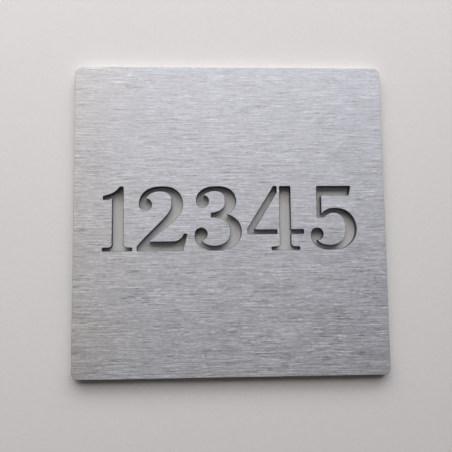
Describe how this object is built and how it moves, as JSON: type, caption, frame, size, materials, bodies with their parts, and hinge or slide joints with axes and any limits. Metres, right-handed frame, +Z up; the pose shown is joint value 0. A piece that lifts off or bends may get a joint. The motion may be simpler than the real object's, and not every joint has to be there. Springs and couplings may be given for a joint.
{
  "type": "private sign",
  "caption": "Small square wall sign of brushed aluminium with rounded corners and a row of stencil figures cut right through its middle.",
  "frame": {"origin": "centre of the flat back face, which lies on the wall", "axes": "+Z up, +X to the right as seen from the front, -Y out of the front face towards the viewer, +Y into the wall"},
  "size_m": [0.1, 0.0025, 0.1],
  "materials": {
    "brushed_plate": "fine horizontal brushing, satin"
  },
  "bodies": {
    "root": {"sign_plate": "brushed_plate"}
  },
  "joints": []
}
